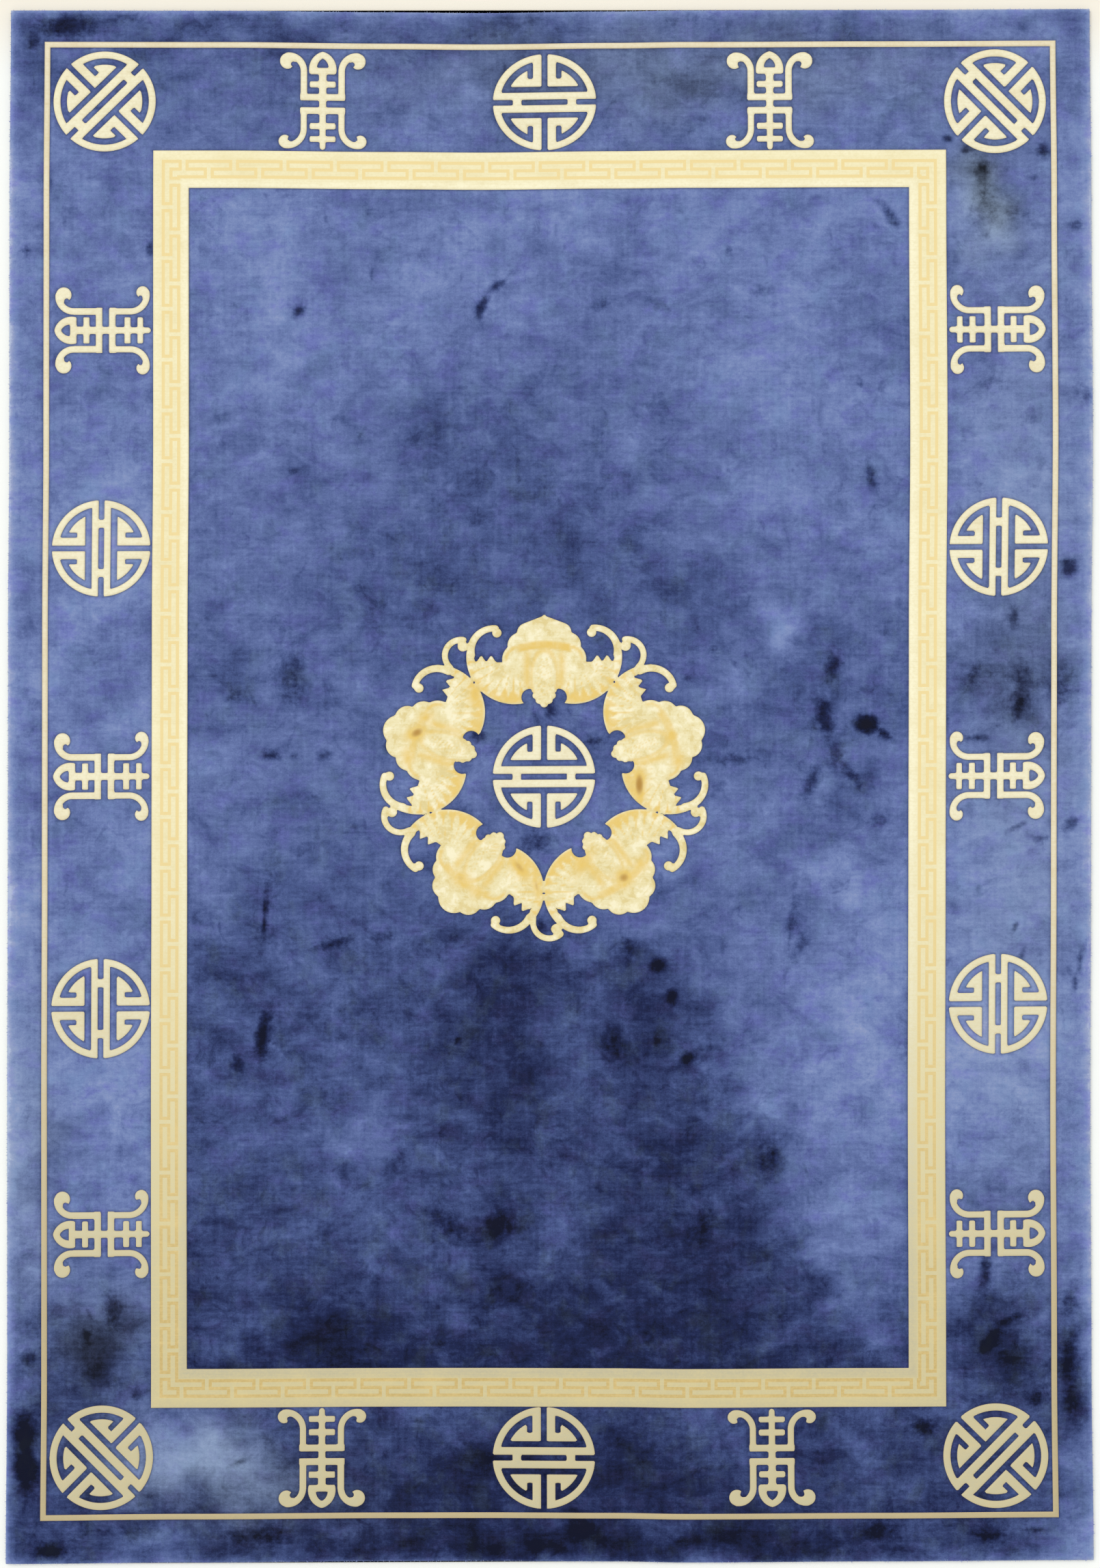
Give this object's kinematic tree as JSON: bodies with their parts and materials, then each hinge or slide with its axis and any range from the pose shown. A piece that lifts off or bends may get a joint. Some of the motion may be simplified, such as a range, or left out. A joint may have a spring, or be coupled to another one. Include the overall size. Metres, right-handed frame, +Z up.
{
  "type": "chinese silk rug",
  "caption": "Flat rectangular hand-knotted silk rug in blue, with a cream guard line, a cream inner band, round and long longevity signs in the border and a ring of bats in the middle.",
  "frame": {"origin": "middle of the underside, on the floor that the rug lies on", "axes": "+Z up out of the pile, +Y along the rug's length towards the top of the pictured layout, +X across its width"},
  "size_m": [1.7072, 2.441, 0.0104],
  "materials": {
    "blue_silk_pile": "clipped silk pile in mottled blue, soft sheen that changes with the lie of the nap",
    "cream_silk_pile": "clipped silk pile in cream, soft sheen",
    "gold_silk_pile": "clipped silk pile in old gold, soft sheen",
    "woven_foundation": "close woven ground cloth, matt"
  },
  "bodies": {
    "root": {"rug": "blue_silk_pile"}
  },
  "joints": []
}
